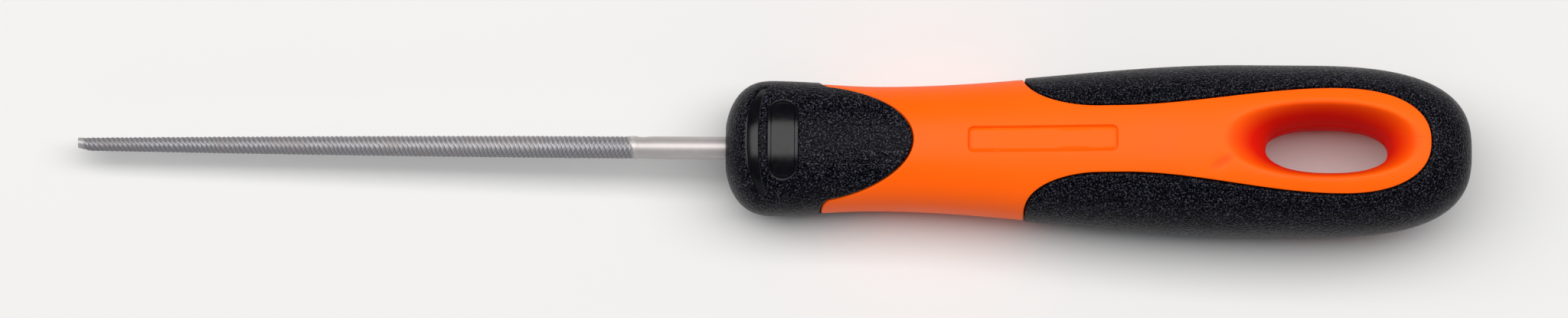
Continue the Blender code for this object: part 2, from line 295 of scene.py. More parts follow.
def cutSheet(sheet, values, levels):
    # new edges run where the values reach each level
    nearest = sheets["onLevel"]
    layer = sheet.verts.layers.float.new("value")
    for vert, value in zip(sheet.verts, values):
        vert[layer] = value
    for level in levels:
        made = [vert for vert in sheet.verts if abs(vert[layer] - level) < nearest]
        for edge in list(sheet.edges):
            near, far = (vert[layer] - level for vert in edge.verts)
            if near * far < 0 and min(abs(near), abs(far)) > nearest:
                made.append(bmesh.utils.edge_split(edge, edge.verts[0], near / (near - far))[1])
        bmesh.ops.connect_verts(sheet, verts=made)
    sheet.verts.layers.float.remove(layer)
    bmesh.ops.remove_doubles(sheet, verts=sheet.verts, dist=sheets["cutWeld"])


def dropOutside(sheet, field):
    # faces whose middle lies outside are taken away
    middles = np.array([face.calc_center_median() for face in sheet.faces], float)
    values = field(middles)
    outside = [face for face, value in zip(sheet.faces, values) if value < 0]
    bmesh.ops.delete(sheet, geom=outside, context="FACES")


def rimDrop(distance, radius):
    # a rounded edge: as deep as its radius at the outline, level one radius inside
    inward = np.clip(1 - distance / radius, 0, 1)
    return radius * (1 - np.sqrt(1 - inward * inward))


def rimLevels(radius, steps):
    return [radius * (1 - math.cos(angle)) for angle in quarter(steps)]


def layOnForm(sheet, depths, boreRadius):
    # keeps the flat place of each vertex in a layer, for the inner skin
    place = sheet.verts.layers.float_vector.new("place")
    flat = flatPoints(sheet)
    flat[:, 2] = depths
    for vert, where, point in zip(sheet.verts, flat, wrapped(flat, boreRadius)):
        vert[place] = where
        vert.co = point
    bmesh.ops.remove_doubles(sheet, verts=sheet.verts, dist=sheets["laidWeld"])


def thicken(sheet, wall, boreRadius):
    made = bmesh.ops.extrude_face_region(sheet, geom=list(sheet.faces))["geom"]
    inner = [part for part in made if isinstance(part, bmesh.types.BMVert)]
    place = sheet.verts.layers.float_vector["place"]
    flat = np.array([vert[place] for vert in inner], float)
    flat[:, 2] = wall
    for vert, point in zip(inner, wrapped(flat, boreRadius)):
        vert.co = point


def finishPiece(name, bm, materials, smoothAngle=None):
    bmesh.ops.recalc_face_normals(bm, faces=bm.faces)
    bmesh.ops.scale(bm, vec=(mm, mm, mm), verts=bm.verts)
    place = bm.verts.layers.float_vector.get("place")
    if place:
        bm.verts.layers.float_vector.remove(place)
    mesh = bpy.data.meshes.new(name)
    bm.to_mesh(mesh)
    bm.free()
    mesh.shade_smooth()
    if smoothAngle:
        mesh.set_sharp_from_angle(angle=math.radians(smoothAngle))
    for material in materials:
        mesh.materials.append(material)
    piece = bpy.data.objects.new(name, mesh)
    bpy.context.scene.collection.objects.link(piece)
    triangles = sum(len(face.vertices) - 2 for face in mesh.polygons)
    print(name, len(mesh.vertices), "vertices", triangles, "triangles")
    return piece


# Materials

cloudSpan = (0.3, 0.7)  # noise values between which a look goes from one end of its range to the other


def startMaterial(name):
    material = bpy.data.materials.new(name)
    material.use_nodes = True
    nodes = material.node_tree.nodes
    return material, nodes, material.node_tree.links, nodes["Principled BSDF"]


def noiseAt(nodes, links, coordinates, scale, detail, roughness=0.5, stretch=(1, 1, 1)):
    mapping = nodes.new("ShaderNodeMapping")
    mapping.inputs["Scale"].default_value = stretch
    links.new(coordinates, mapping.inputs["Vector"])
    noise = nodes.new("ShaderNodeTexNoise")
    noise.inputs["Scale"].default_value = scale
    noise.inputs["Detail"].default_value = detail
    noise.inputs["Roughness"].default_value = roughness
    links.new(mapping.outputs["Vector"], noise.inputs["Vector"])
    return noise.outputs["Fac"]


def rampOn(nodes, links, value, stops):
    ramp = nodes.new("ShaderNodeValToRGB")
    for element, (position, colour) in zip(ramp.color_ramp.elements, stops):
        element.position = position
        element.color = (*colour, 1)
    for position, colour in stops[2:]:
        ramp.color_ramp.elements.new(position).color = (*colour, 1)
    links.new(value, ramp.inputs["Fac"])
    return ramp.outputs["Color"]


def rangeOn(nodes, links, value, low, high, toLow, toHigh):
    node = nodes.new("ShaderNodeMapRange")
    node.inputs["From Min"].default_value = low
    node.inputs["From Max"].default_value = high
    node.inputs["To Min"].default_value = toLow
    node.inputs["To Max"].default_value = toHigh
    links.new(value, node.inputs["Value"])
    return node.outputs["Result"]


def bumpFrom(nodes, links, height, strength, distance, normal=None):
    bump = nodes.new("ShaderNodeBump")
    bump.inputs["Strength"].default_value = strength
    bump.inputs["Distance"].default_value = distance
    links.new(height, bump.inputs["Height"])
    if normal:
        links.new(normal, bump.inputs["Normal"])
    return bump.outputs["Normal"]


def mathOn(nodes, links, operation, first, second):
    node = nodes.new("ShaderNodeMath")
    node.operation = operation
    for socket, value in zip(node.inputs, (first, second)):
        if isinstance(value, (int, float)):
            socket.default_value = value
        else:
            links.new(value, socket)
    return node.outputs["Value"]


def mixOn(nodes, links, share, first, second):
    node = nodes.new("ShaderNodeMix")
    node.data_type = "RGBA"
    links.new(share, node.inputs["Factor"])
    for socket, value in zip((node.inputs["A"], node.inputs["B"]), (first, second)):
        if isinstance(value, tuple):
            socket.default_value = (*value, 1)
        else:
            links.new(value, socket)
    return node.outputs["Result"]


orangeLook = {
    "colour": (1.0, 0.122, 0.0006),
    "cloudy": (0.97, 0.113, 0.0003),
    "deepRedShadeAndStain": (0.76, 0.009, 0.0),  # painted shade: a deeper red where the plastic in the hole is lit mostly by itself; the weld line's stain and the sink mark's painted shade take it too
    "holeShift": -1.0,
    "holeHalfSizes": (14.9, 6.2),
    "holeShares": (0.7, 0.99),  # of those sizes, where the hole's painted shade fades out
    "holeRoughness": 0.75,
    "weldLine": (101.0, 0.55, 0.1),  # from u, at y, half its width
    "weldFade": 0.4,  # the length over which it starts
    "weldStain": 0.35,  # share of the hole's colour
    "weldBump": (-0.6, 0.00005),  # strength, and depth in metres
    # painted shade over the sink mark, as a share of the deep red
    "sinkPaintedShade": 0.3,
    "sinkShares": (0.1, 1.6),  # squares of the share of its half sizes
    "roughness": (0.4, 0.52),
    "specular": 0.13,
    "cloudNoise": (60, 3),  # scale and detail
    "fineNoise": (2500, 2),
    "grain": (0.15, 0.00004),  # strength, and depth in metres
}


def orangePlastic():
    look = orangeLook
    material, nodes, links, shader = startMaterial("satinOrangePlastic")
    coordinates = nodes.new("ShaderNodeTexCoord").outputs["Object"]
    place = nodes.new("ShaderNodeSeparateXYZ")
    links.new(coordinates, place.inputs["Vector"])
    atX, atY = place.outputs["X"], place.outputs["Y"]
    cloud = noiseAt(nodes, links, coordinates, *look["cloudNoise"])
    plain = rampOn(nodes, links, cloud, list(zip(cloudSpan, (look["cloudy"], look["colour"]))))
    # how far a place is from the hole's middle, as a share of those half sizes
    middle = (form["front"] + core["holeAt"] + look["holeShift"]) * mm
    fromMiddle = mathOn(nodes, links, "SUBTRACT", atX, middle)
    squares = []
    for offset, half in zip((fromMiddle, atY), look["holeHalfSizes"]):
        share = mathOn(nodes, links, "MULTIPLY", offset, 1 / (half * mm))
        squares.append(mathOn(nodes, links, "POWER", share, 2))
    reach = mathOn(nodes, links, "SQRT", mathOn(nodes, links, "ADD", *squares), 0)
    # painted shade: inside the hole the orange turns to a deeper red
    deepRedShadeAndStain = rangeOn(nodes, links, reach, *look["holeShares"], 1.0, 0.0)
    colour = mixOn(nodes, links, deepRedShadeAndStain, plain, look["deepRedShadeAndStain"])
    # the faint line where the plastic's two streams met behind the hole
    startU, lineY, lineHalf = look["weldLine"]
    fromLine = mathOn(nodes, links, "SUBTRACT", atY, lineY * mm)
    offLine = mathOn(nodes, links, "ABSOLUTE", fromLine, 0)
    onLine = rangeOn(nodes, links, offLine, 0.0, lineHalf * mm, 1.0, 0.0)
    lineStart = form["front"] + startU
    after = rangeOn(nodes, links, atX, lineStart * mm, (lineStart + look["weldFade"]) * mm, 0.0, 1.0)
    weld = mathOn(nodes, links, "MULTIPLY", onLine, after)
    # painted shade of the sink mark ahead of the hole: the orange is slightly darkened over it, on the upper
    # side
    sinkU, sinkY = core["dimpleAt"]
    turn = math.radians(core["dimpleTurn"])
    fromSinkX = mathOn(nodes, links, "SUBTRACT", atX, (form["front"] + sinkU) * mm)
    fromSinkY = mathOn(nodes, links, "SUBTRACT", atY, sinkY * mm)
    squares = []
    for angle, half in zip((turn, turn + math.pi / 2), core["dimpleHalfSizes"]):
        first = mathOn(nodes, links, "MULTIPLY", fromSinkX, math.cos(angle) / half / mm)
        second = mathOn(nodes, links, "MULTIPLY", fromSinkY, math.sin(angle) / half / mm)
        squares.append(mathOn(nodes, links, "POWER", mathOn(nodes, links, "ADD", first, second), 2))
    fromSink = mathOn(nodes, links, "ADD", *squares)
    sink = rangeOn(nodes, links, fromSink, *look["sinkShares"], look["sinkPaintedShade"], 0.0)
    upper = rangeOn(nodes, links, place.outputs["Z"], 0.0, 1 * mm, 0.0, 1.0)
    sink = mathOn(nodes, links, "MULTIPLY", sink, upper)
    # the weld line's real stain and the sink mark's painted shade, both mixed towards the deep red
    weldMark = mathOn(nodes, links, "MULTIPLY", weld, look["weldStain"])
    marks = mathOn(nodes, links, "ADD", weldMark, sink)
    links.new(mixOn(nodes, links, marks, colour, look["deepRedShadeAndStain"]), shader.inputs["Base Color"])
    fine = noiseAt(nodes, links, coordinates, *look["fineNoise"])
    satin = rangeOn(nodes, links, cloud, *cloudSpan, *look["roughness"])
    matt = nodes.new("ShaderNodeMix")
    links.new(deepRedShadeAndStain, matt.inputs["Factor"])
    links.new(satin, matt.inputs["A"])
    matt.inputs["B"].default_value = look["holeRoughness"]
    links.new(matt.outputs["Result"], shader.inputs["Roughness"])
    grain = bumpFrom(nodes, links, fine, *look["grain"])
    links.new(bumpFrom(nodes, links, weld, *look["weldBump"], grain), shader.inputs["Normal"])
    shader.inputs["Specular IOR Level"].default_value = look["specular"]
    return material


softLook = {
    # painted light: shade in the hollows, a highlight on the crowns, glints on a few pebbles
    "hollowShade": (0.0001, 0.0001, 0.0008),
    "crown": (0.002, 0.0024, 0.0074),
    "glint": (0.055, 0.0525, 0.067),
    "glintSpan": (0.55, 0.69),  # noise values between which a pebble takes a painted glint
    "roughness": (0.26, 0.36),
    "specular": 0.058,
    "grain": 2900,  # pebbles to a metre
    "grainDepth": 0.0001,
    "grainBlur": 0.4,
    "crownSpan": (0.15, 0.75),  # from a pebble's middle to its foot
    "crownHeights": (0.35, 1.0),  # as the slower noise lets them rise
    "heightStops": (0.15, 0.6),
    "bendShare": 0.6,  # scale of the slower noise, as a share of the grain
    "bendDetail": 2,
    "sparkleShare": 1.4,  # and of the noise for the specks
    "sparkleDetail": 1,
}


def softPlastic(name):
    # pebbled skin with painted light: painted shade in the dark hollows, a painted highlight on the paler
    # crowns and a few bright painted glints
    look = softLook
    material, nodes, links, shader = startMaterial(name)
    coordinates = nodes.new("ShaderNodeTexCoord").outputs["Object"]
    bend = noiseAt(nodes, links, coordinates, look["grain"] * look["bendShare"], look["bendDetail"])
    pebbles = nodes.new("ShaderNodeTexVoronoi")
    pebbles.feature = "SMOOTH_F1"
    pebbles.inputs["Scale"].default_value = look["grain"]
    pebbles.inputs["Smoothness"].default_value = look["grainBlur"]
    links.new(coordinates, pebbles.inputs["Vector"])
    crown = rangeOn(nodes, links, pebbles.outputs["Distance"], *look["crownSpan"], 1.0, 0.0)
    rise = rangeOn(nodes, links, bend, *cloudSpan, *look["crownHeights"])
    height = mathOn(nodes, links, "MULTIPLY", crown, rise)
    # painted shade in the hollows and a painted highlight on the crowns
    stops = list(zip(look["heightStops"], (look["hollowShade"], look["crown"])))
    colour = rampOn(nodes, links, height, stops)
    # painted glints: a few pebbles turn pale
    sparkleScale = look["grain"] * look["sparkleShare"]
    sparkle = noiseAt(nodes, links, coordinates, sparkleScale, look["sparkleDetail"])
    glint = rangeOn(nodes, links, sparkle, *look["glintSpan"], 0.0, 1.0)
    links.new(mixOn(nodes, links, glint, colour, look["glint"]), shader.inputs["Base Color"])
    rough = rangeOn(nodes, links, bend, *cloudSpan, *look["roughness"])
    links.new(rough, shader.inputs["Roughness"])
    links.new(bumpFrom(nodes, links, height, 1.0, look["grainDepth"]), shader.inputs["Normal"])
    shader.inputs["Specular IOR Level"].default_value = look["specular"]
    return material


polishLook = {
    "colour": (0.0001, 0.0001, 0.0009),
    "paler": (0.0008, 0.0006, 0.0026),
    "roughness": (0.17, 0.25),
    "specular": 0.28,
    "cloudNoise": (900, 3),
    "cloudStops": (0.35, 0.65),
    "fineNoise": (6000, 2),
    "grain": (0.1, 0.00001),
}


def polishedPlastic():
    # the same plastic, moulded smooth in the band and the panel
    look = polishLook
    material, nodes, links, shader = startMaterial("polishedBlackPlastic")
    coordinates = nodes.new("ShaderNodeTexCoord").outputs["Object"]
    cloud = noiseAt(nodes, links, coordinates, *look["cloudNoise"])
    stops = list(zip(look["cloudStops"], (look["colour"], look["paler"])))
    links.new(rampOn(nodes, links, cloud, stops), shader.inputs["Base Color"])
    rough = rangeOn(nodes, links, cloud, *cloudSpan, *look["roughness"])
    links.new(rough, shader.inputs["Roughness"])
    fine = noiseAt(nodes, links, coordinates, *look["fineNoise"])
    links.new(bumpFrom(nodes, links, fine, *look["grain"]), shader.inputs["Normal"])
    shader.inputs["Specular IOR Level"].default_value = look["specular"]
    return material


steelLook = {
    "heel": (0.43, 0.402, 0.397),
    "heelWorn": (0.475, 0.443, 0.436),
    # painted highlight on the tooth crests, painted shade in the valleys
    "crestHighlight": (0.6, 0.578, 0.57),
    "flank": (0.285, 0.277, 0.29),
    "valleyShade": (0.18, 0.18, 0.202),
    "rust": (0.29, 0.24, 0.227),
    "tipShade": (0.14, 0.14, 0.154, 0.42),  # and its share at the tip
    "metallic": 0.45,  # the ground face also scatters light
    "heelRoughness": (0.41, 0.45),
    "cutRoughness": (0.38, 0.52),
    "cutStops": (0.06, 0.9, 0.42),  # where the crest's painted highlight, the valley's painted shade and the flank have their colours
    "rustSpan": (0.45, 0.8),
    "rustShare": 0.45,
    "cutEdge": 0.4,  # half of the change from the cut to the heel
    "tipReach": 0.8,  # of the cut, darkened towards the tip
    "cloudNoise": (400, 4),
    "aroundNoise": (900, 3, 0.6, (6, 1, 1)),  # scale, detail, roughness and stretch
    "grain": (0.03, 0.00002),
}


def groundSteel():
    # the plain heel is ground round and round; the cut is duller and darker
    look = steelLook
    material, nodes, links, shader = startMaterial("hardenedSteel")
    coordinates = nodes.new("ShaderNodeTexCoord").outputs["Object"]
    place = nodes.new("ShaderNodeSeparateXYZ")
    links.new(coordinates, place.inputs["Vector"])
    atX = place.outputs["X"]
    edge, half = blade["cutLength"] * mm, look["cutEdge"] * mm
    onHeel = rangeOn(nodes, links, atX, edge - half, edge + half, 0.0, 1.0)
    around = noiseAt(nodes, links, coordinates, *look["aroundNoise"])
    cloud = noiseAt(nodes, links, coordinates, *look["cloudNoise"])
    # painted light on the teeth: paler crests and darker valleys, by each vertex's valley depth
    deep = nodes.new("ShaderNodeAttribute")
    deep.attribute_name = "valleyShade"
    stops = list(zip(look["cutStops"], (look["crestHighlight"], look["valleyShade"], look["flank"])))
    cut = rampOn(nodes, links, deep.outputs["Fac"], stops)
    rusty = rangeOn(nodes, links, cloud, *look["rustSpan"], 0.0, look["rustShare"])
    cut = mixOn(nodes, links, rusty, cut, look["rust"])
    *tint, share = look["tipShade"]
    nearTip = rangeOn(nodes, links, atX, 0.0, edge * look["tipReach"], share, 0.0)
    cut = mixOn(nodes, links, nearTip, cut, tuple(tint))
    stops = list(zip(cloudSpan, (look["heel"], look["heelWorn"])))
    heel = rampOn(nodes, links, cloud, stops)
    links.new(mixOn(nodes, links, onHeel, cut, heel), shader.inputs["Base Color"])
    shader.inputs["Metallic"].default_value = look["metallic"]
    rough = nodes.new("ShaderNodeMix")
    links.new(onHeel, rough.inputs["Factor"])
    links.new(rangeOn(nodes, links, cloud, *cloudSpan, *look["cutRoughness"]), rough.inputs["A"])
    links.new(rangeOn(nodes, links, around, *cloudSpan, *look["heelRoughness"]), rough.inputs["B"])
    links.new(rough.outputs["Result"], shader.inputs["Roughness"])
    links.new(bumpFrom(nodes, links, around, *look["grain"]), shader.inputs["Normal"])
    return material


# Blade

blade = {
    "cutLength": 82.0,
    "seatEnd": 100.0,  # the shoulder, inside the handle
    "tangEnd": 134.0,
    "heelRadius": 1.675,
    "cutRadius": 1.725,
    "tipRadius": 1.025,
    "noseRadius": 0.75,
    "noseLength": 1.7,
    "taperEnd": 75.0,
    "taperPower": 1.5,
    "tangRoot": 1.1,
    "tangTip": 0.55,
    "sides": 96,
    "rowSpacing": 0.092,
    "rowsPast": 1.4,  # how far the fine rows reach past the cut
    "heelStart": 0.4,  # from the last fine row
    "heelSteps": 30,
    "tangSteps": 12,
    "nearest": 0.01,  # between the shoulder's two rows
    "weld": 0.002,
    "smoothAngle": 60,
    "toothPitch": 0.69,
    "toothStarts": 6,
    "toothDepth": 0.17,
    "toothSharpness": 0.5,  # below 1 the crests are thin and the valleys wide
    "toothLean": 0.75,
    "tipFade": (0.1, 1.6),  # where the cut starts behind the tip
    "heelFade": (-0.9, 0.2),  # and where it ends, from its nominal end
    "heelWave": 0.4,  # its end slants this much from side to side
    "crossPitch": 0.62,
    "crossStarts": 12,
    "crossDepth": 0.1,
    "crossLean": 0.6,
    "crossShares": (0.06, 0.7),  # on the upper side and underneath
    "lowSide": (0.6, -0.35, 0.5),  # its angle, and where it starts and is full
    "lowAhead": 14,  # the cross cut deepens this much earlier there
    "crossGain": 0.5,  # how much deeper it gets towards the heel
    "crossFull": (62.0, 84.0),
    "slowWander": (0.12, 0.61, 1.3),  # share of a pitch, radians a millimetre, and its start
    "quickWander": (0.08, 1.7, 2),  # the same, and its waves round the blade
    "valleyShadeShares": (0.75, 0.5),  # how much each cut darkens its valleys with painted shade
    "dipAt": 83.4,
    "dipDepth": 0.1,
    "dipHalf": 0.9,
    "heelFrom": 0.6,  # past the cut
    "tangPower": 8,  # its section is nearly square
    "tipLean": 0.24,
}


def bladeRadius(x):
    b = blade
    fullness = 1 - (1 - np.clip(x / b["taperEnd"], 0, 1)) ** b["taperPower"]
    tapered = b["tipRadius"] + (b["cutRadius"] - b["tipRadius"]) * fullness
    nose = np.interp(x, [0, b["noseLength"]], [b["noseRadius"], b["tipRadius"]])
    return np.where(x < b["noseLength"], np.minimum(nose, tapered), tapered)


def toothDrop(phase, lean):
    # a chisel cut: crest at whole phases, valley where the steep face meets the long one
    part = phase - np.floor(phase)
    return np.minimum(part / lean, (1 - part) / (1 - lean))


def makeBlade(material):
    b = blade
    rows = np.arange(0, b["cutLength"] + b["rowsPast"], b["rowSpacing"])
    heel = np.linspace(rows[-1] + b["heelStart"], b["seatEnd"], b["heelSteps"])
    tang = np.linspace(b["seatEnd"] + b["nearest"], b["tangEnd"], b["tangSteps"])
    along = np.concatenate([rows, heel, tang])
    bm = bmesh.new()
    # the spun line stands 1 mm off the axis, and its two ends lie on it
    chain = [bm.verts.new((0, 0, 0))]
    chain += [bm.verts.new((x, 0, 1)) for x in along]
    chain.append(bm.verts.new((b["tangEnd"], 0, 0)))
    edges = [bm.edges.new(pair) for pair in zip(chain, chain[1:])]
    bmesh.ops.spin(
        bm, geom=chain + edges, cent=(0, 0, 0), axis=(1, 0, 0), dvec=(0, 0, 0),
        angle=math.tau, steps=b["sides"], use_merge=True, use_duplicate=False,
    )
    bmesh.ops.remove_doubles(bm, verts=bm.verts, dist=b["weld"])
    bm.verts.ensure_lookup_table()
    places = np.array([vert.co for vert in bm.verts], float)
    x = places[:, 0]
    angle = np.arctan2(places[:, 2], places[:, 1])
    onSkin = np.hypot(places[:, 1], places[:, 2]) > 0.5
    fadeFrom, fadeTo = (b["cutLength"] + offset for offset in b["heelFade"])
    cut = (1 - eased(x + b["heelWave"] * np.cos(angle), fadeFrom, fadeTo)) * eased(x, *b["tipFade"])
    share, along, startAngle = b["slowWander"]
    wander = share * np.sin(x * along + startAngle)
    share, along, waves = b["quickWander"]
    wander = wander + share * np.sin(x * along + waves * angle)
    over = toothDrop(x / b["toothPitch"] - b["toothStarts"] * angle / math.tau + wander, b["toothLean"])
    cross = toothDrop(x / b["crossPitch"] + b["crossStarts"] * angle / math.tau + wander, b["crossLean"])
    lowAngle, lowFrom, lowFull = b["lowSide"]
    lowSide = eased(-np.cos(angle - lowAngle), lowFrom, lowFull)  # away from the back and top
    plain, full = b["crossShares"]
    crossShare = plain + (full - plain) * lowSide
    crossShare += b["crossGain"] * eased(x + b["lowAhead"] * lowSide, *b["crossFull"])
    over, cross = over ** b["toothSharpness"], crossShare * cross
    drop = cut * (b["toothDepth"] * over + b["crossDepth"] * cross)
    # painted shade: each vertex's share of valley depth, which the material darkens
    valleyShade = bm.verts.layers.float.new("valleyShade")
    overShare, underShare = b["valleyShadeShares"]
    for vert, depth in zip(bm.verts, np.clip(cut * (overShare * over + underShare * cross), 0, 1)):
        vert[valleyShade] = depth
    dip = b["dipDepth"] * np.exp(-(((x - b["dipAt"]) / b["dipHalf"]) ** 2))
    onHeel = x > b["cutLength"] + b["heelFrom"]
    radius = np.where(onHeel, b["heelRadius"], bladeRadius(x) - drop) - dip
    inTang = x > b["seatEnd"] + b["nearest"] / 2
    side = b["tangRoot"] + (b["tangTip"] - b["tangRoot"]) * (x - b["seatEnd"]) / (b["tangEnd"] - b["seatEnd"])
    power = b["tangPower"]
    square = (np.abs(np.cos(angle)) ** power + np.abs(np.sin(angle)) ** power) ** (-1 / power)
    radius = np.where(inTang, side * square, radius) * onSkin
    # the nose was ground a little more on its front side
    shift = b["tipLean"] * np.clip(1 - x / b["noseLength"], 0, 1)
    for vert, r, turn, move in zip(bm.verts, radius, angle, shift):
        vert.co = (vert.co.x, r * math.cos(turn) + move, r * math.sin(turn))
    return finishPiece("round_blade", bm, [material], b["smoothAngle"])


# Soft collar

collar = {
    "spacing": 0.42,
    "wall": 2.0,
    "rimRadius": 0.3,
    "rimSteps": 6,
    "boreRadius": 1.72,
    "reliefDepth": 0.25,
    "reliefEdge": 0.16,
    "edgeCuts": (-0.5, 0, 0.5, 1, 1.5),  # shares of that edge where the sheet is cut
    "polishFrom": 0.4,  # share of the full depth
    "bandAt": 2.75,
    "bandWidth": 2.1,
    "bandLength": 16.6,
    "bandCorner": 0.4,
    "bandThinning": 0.45,
    "panelAt": 6.05,
    "panelWidth": 4.7,
    "panelLength": 12.4,
    "fieldInset": 0.56,  # the panel's inner field stands a little above its moat
    "fieldRise": 0.13,
    "fieldEdge": 0.12,
    "fieldCuts": (0, 0.25, 0.5, 0.75, 1),
}


def makeCollar(grained, polished):
    c = collar
    outline = collarOutline()
    band = bentBand()
    panel = roundedOutline(c["panelAt"], c["panelWidth"], c["panelLength"], c["panelWidth"] / 2)
    sheet = flatSheet(0, meridianAt(outlines["tongueEnd"]) + sheets["margin"], c["spacing"])
    levels = rimLevels(c["rimRadius"], c["rimSteps"])
    cutSheet(sheet, outlineField(flatPoints(sheet), c["boreRadius"], outline), levels)
    dropOutside(sheet, lambda flat: outlineField(flat, c["boreRadius"], outline))
    edge = c["reliefEdge"]
    for shape in (band, panel):
        values = outlineField(flatPoints(sheet), c["boreRadius"], shape, True)
        cutSheet(sheet, values, [edge * share for share in c["edgeCuts"]])
    field, fieldEdge = c["fieldInset"], c["fieldEdge"]
    values = outlineField(flatPoints(sheet), c["boreRadius"], panel, True)
    cutSheet(sheet, values, [field + fieldEdge * share for share in c["fieldCuts"]])
    flat = flatPoints(sheet)
    depths = rimDrop(outlineField(flat, c["boreRadius"], outline), c["rimRadius"])
    inBand = outlineField(flat, c["boreRadius"], band, True)
    inPanel = outlineField(flat, c["boreRadius"], panel, True)
    sunk = np.maximum(eased(inBand, -edge / 2, edge), eased(inPanel, -edge / 2, edge))
    depths += c["reliefDepth"] * sunk - c["fieldRise"] * eased(inPanel, field, field + fieldEdge)
    smooth = {vert for vert, value in zip(sheet.verts, sunk) if value > c["polishFrom"]}
    for face in sheet.faces:
        face.material_index = int(all(vert in smooth for vert in face.verts))
    layOnForm(sheet, depths, c["boreRadius"])
    thicken(sheet, c["wall"], c["boreRadius"])
    return finishPiece("soft_collar", sheet, [grained, polished])


# Soft pads round the sides and the butt

grip = {
    "spacing": 0.42,
    "wall": 1.8,
    "rimRadius": 0.3,
    "rimSteps": 6,
}


def makeGrip(material):
    g = grip
    outline = padsOutline()
    sheet = flatSheet(meridianAt(outlines["padNoseAt"]) - sheets["margin"], meridianLength, g["spacing"])
    levels = rimLevels(g["rimRadius"], g["rimSteps"])
    cutSheet(sheet, outlineField(flatPoints(sheet), 0, outline), levels)
    dropOutside(sheet, lambda flat: outlineField(flat, 0, outline))
    depths = rimDrop(outlineField(flatPoints(sheet), 0, outline), g["rimRadius"])
    layOnForm(sheet, depths, 0)
    thicken(sheet, g["wall"], 0)
    return finishPiece("soft_pads", sheet, [material])


# Hard core

core = {
    "spacing": 0.45,
    "rise": 0.2,  # how far the soft pieces stand above it
    "gap": 0.2,  # beside each soft piece
    "edgeRadius": 0.2,
    "edgeSteps": 4,
    "collarSeat": 2.15,
    "padSeat": 1.95,
    "boreRadius": 1.9,
    "seatCut": 0.02,  # from the soft piece's outline
    "seatFrom": 0.01,  # inside the gap's far edge the core is at its full seat depth
    "seatEnd": 4.7,
    "socketEnd": 38.7,
    "socketRadii": (1.55, 0.85),
    "holeAt": 88.7,
    "holeLength": 9.1,
    "holeWidth": 3.95,
    "holeFrontFlare": 17.4,
    "holeRearFlare": 17.3,
    "holeSideFlare": 6.35,
    "holePower": 2.3,
    "throatPower": 2.8,  # higher is straighter halfway down
    "holeReach": 11.9,
    "holeRim": 0.9999,  # just short of the reach, where the flare is endlessly steep
    "holeScale": 0.8,  # turns a share of the hole's size into about a distance
    "holeSteps": 40,
    "lipWidth": 1.3,
    "lipHeight": 5,  # beyond this on both faces
    "lipPasses": 20,
    "partingRise": 0.1,  # the mould's parting line, halfway down the hole
    "partingHalf": 0.016,  # half its height, as a share of the mouth's
    "partingCuts": (0.008, 0.016, 0.03),
    "dimpleAt": (72.8, -3.5),
    "dimpleHalfSizes": (1.9, 0.65),
    "dimpleTurn": 32.0,
    "dimpleDepth": 0.25,
    "dimpleFoot": 0.02,  # share taken off, so that it ends
    "labelAt": 35.6,
    "labelLength": 21.9,
    "labelWidth": 3.9,
    "labelCorner": 0.8,
    "labelDepth": 0.3,
    "labelEdge": 0.14,
    "labelGroove": 0.18,  # round the foot of its wall
    "labelGrooveWidth": 0.3,
    "grooveFoot": (0.2, 0.4),  # shares of that width, where it starts to rise and where it is cut
    "weld": 0.025,
    "mouthWeld": 0.08,  # at the lower mouth, where the wall meets the skin only nearly
    "mouthSides": 6,  # and the largest crack that is closed there
    "smoothAngle": 50,
}


def holeSizes(level, forward):
    c = core
    power = c["throatPower"]
    opened = 1 - (1 - np.clip(np.abs(level), 0, c["holeRim"]) ** power) ** (1 / power)
    flare = np.where(forward, c["holeRearFlare"], c["holeFrontFlare"])
    return c["holeLength"] + opened * flare, c["holeWidth"] + opened * c["holeSideFlare"]


def holeField(places):
    # about the distance outside the flared hole, in millimetres
    c = core
    offset = places[:, 0] - c["holeAt"]
    length, width = holeSizes(places[:, 2] / c["holeReach"], offset > 0)
    power = c["holePower"]
    share = ((np.abs(offset) / length) ** power + (np.abs(places[:, 1]) / width) ** power) ** (1 / power)
    return (share - 1) * np.sqrt(length * width) * c["holeScale"]


def holePlaces(flat):
    places = wrapped(flat * (1, 1, 0) + (0, 0, core["rise"]), core["boreRadius"])
    places[:, 0] -= form["front"]
    return places


def dimpleShare(places):
    # one shallow slanting sink mark ahead of the hole, on the upper side
    c = core
    turn = math.radians(c["dimpleTurn"])
    u, y = places[:, 0] - c["dimpleAt"][0], places[:, 1] - c["dimpleAt"][1]
    along = u * math.cos(turn) + y * math.sin(turn)
    across = y * math.cos(turn) - u * math.sin(turn)
    reach = (along / c["dimpleHalfSizes"][0]) ** 2 + (across / c["dimpleHalfSizes"][1]) ** 2
    return np.where(places[:, 2] > 0, np.maximum(np.exp(-reach) - c["dimpleFoot"], 0), 0)


def openLoops(bm):
    # boundary edges, sorted into their loops
    left = dict.fromkeys(edge for edge in bm.edges if edge.is_boundary)
    loops = []
    while left:
        edge = left.popitem()[0]
        loop, ends = [edge], list(edge.verts)
        while ends:
            vert = ends.pop()
            for other in vert.link_edges:
                if other in left:
                    del left[other]
                    loop.append(other)
                    ends.append(other.other_vert(vert))
        loops.append(loop)
    return loops


def extrudedLoop(bm, edges, move):
    # the loop pulled on by one ring, each new vertex placed from the one it came from
    made = bmesh.ops.extrude_edge_only(bm, edges=edges)["geom"]
    for vert in [part for part in made if isinstance(part, bmesh.types.BMVert)]:
        vert.co = move(vert)
    return [part for part in made if isinstance(part, bmesh.types.BMEdge)]


